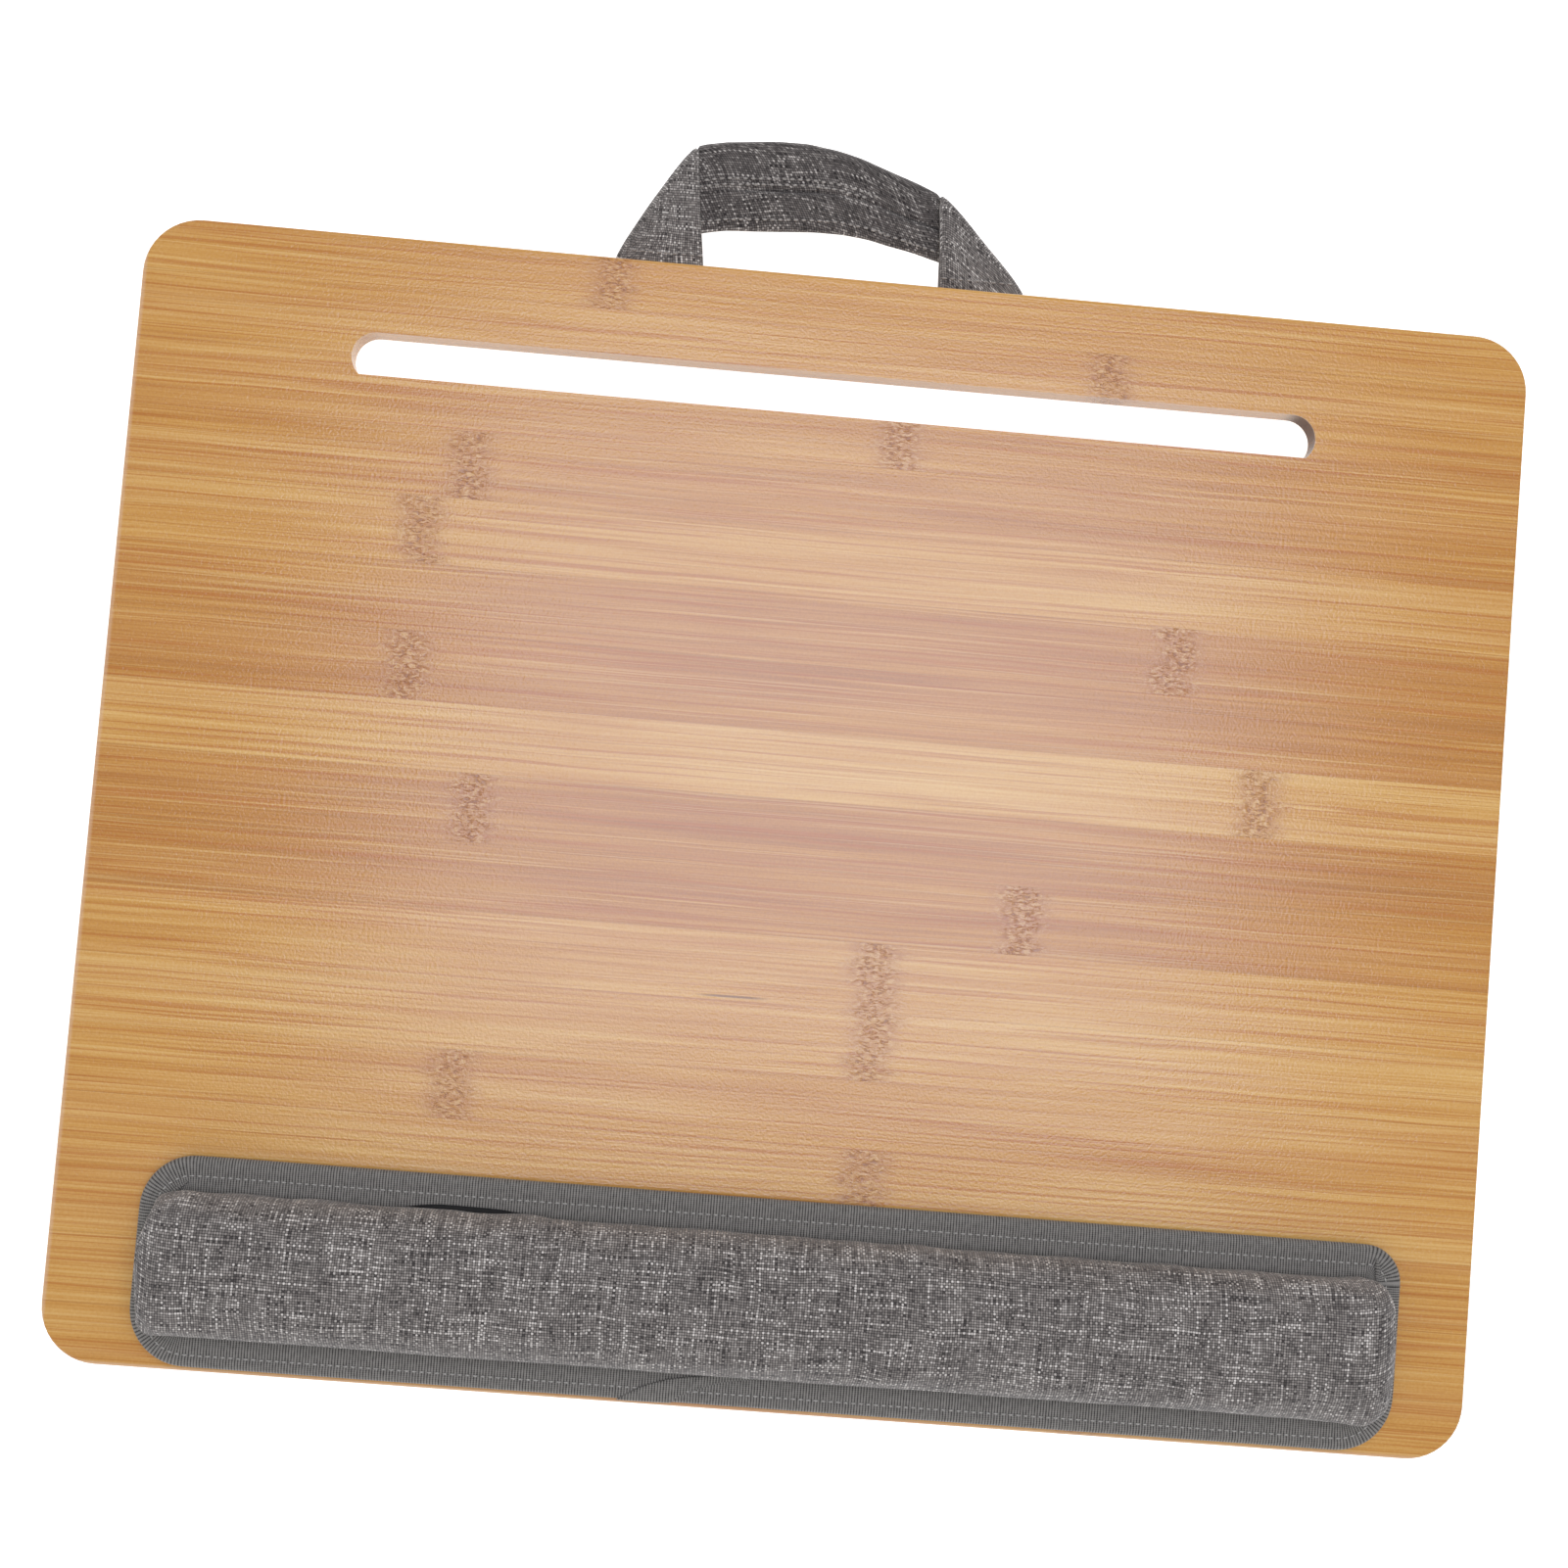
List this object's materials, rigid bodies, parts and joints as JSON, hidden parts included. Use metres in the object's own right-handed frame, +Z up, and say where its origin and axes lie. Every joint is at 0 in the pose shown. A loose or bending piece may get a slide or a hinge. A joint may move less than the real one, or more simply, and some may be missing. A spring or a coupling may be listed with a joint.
{
  "type": "laptop lap desk",
  "caption": "Bamboo laptop lap desk with a device slot, a lift-off padded wrist rest, a fabric carry handle and a zipped cushion with two bolsters underneath.",
  "frame": {"origin": "under the middle of the whole object's box, on the surface that the bolsters stand on", "axes": "+X to the user's right, +Y away from the user towards the carry handle, +Z up out of the board's top face"},
  "size_m": [0.4, 0.3658, 0.0859],
  "materials": {
    "bamboo": "satin lacquered laminated bamboo",
    "melange_fabric": "grey melange plain weave",
    "dark_fabric": "dark grey woven lining",
    "binding_tape": "grey green grosgrain tape",
    "foam": "open cell foam and fibre filling",
    "stiffener_sheet": "semi-rigid sheet",
    "hook_tape": "nylon hook tape",
    "loop_tape": "brushed nylon loop tape",
    "zip_tape": "woven polyester zip tape",
    "zip_coil": "nylon coil",
    "zip_metal": "gunmetal",
    "screw_steel": "zinc plated"
  },
  "bodies": {
    "desk": {"board": "bamboo", "handle_foot_left": "melange_fabric", "handle_foot_right": "melange_fabric", "handle_washers": "screw_steel", "handle_screws": "screw_steel", "board_loop_pads": "loop_tape", "cushion_top_panel": "dark_fabric", "cushion_side_band": "melange_fabric", "cushion_foam_slab": "foam", "cushion_bottom_panel": "dark_fabric", "cushion_piping": "binding_tape", "bolster_cover_left": "melange_fabric", "bolster_cover_right": "melange_fabric", "bolster_filling_left": "foam", "bolster_filling_right": "foam", "zip_tape": "zip_tape", "zip_chain": "zip_coil", "zip_stops": "zip_metal"},
    "handle": {"handle_loop": "melange_fabric"},
    "wrist_rest": {"wrist_hook_pads": "hook_tape", "wrist_backing": "dark_fabric", "wrist_stiffener": "stiffener_sheet", "wrist_binding": "binding_tape", "wrist_foam": "foam", "wrist_cover": "melange_fabric"},
    "slider": {"zip_slider": "zip_metal"},
    "pull": {"zip_pull": "zip_metal"}
  },
  "joints": [
    {"name": "handle_swing", "type": "hinge", "parent": "desk", "child": "handle", "pos_m": [-0.007, 0.14261, 0.0538], "axis": [1, 0, 0], "range_deg": [-80, 75]},
    {"name": "wrist_rest_lift", "type": "slide", "parent": "desk", "child": "wrist_rest", "axis": [0, 0, 1], "range_m": [0, 0.06]},
    {"name": "zip_slide", "type": "slide", "parent": "desk", "child": "slider", "axis": [1, 0, 0], "range_m": [-0.004, 0.212]},
    {"name": "zip_pull_swing", "type": "hinge", "parent": "slider", "child": "pull", "pos_m": [-0.104, 0.08036, 0.0455], "axis": [0, 0, 1], "range_deg": [0, 180]}
  ]
}
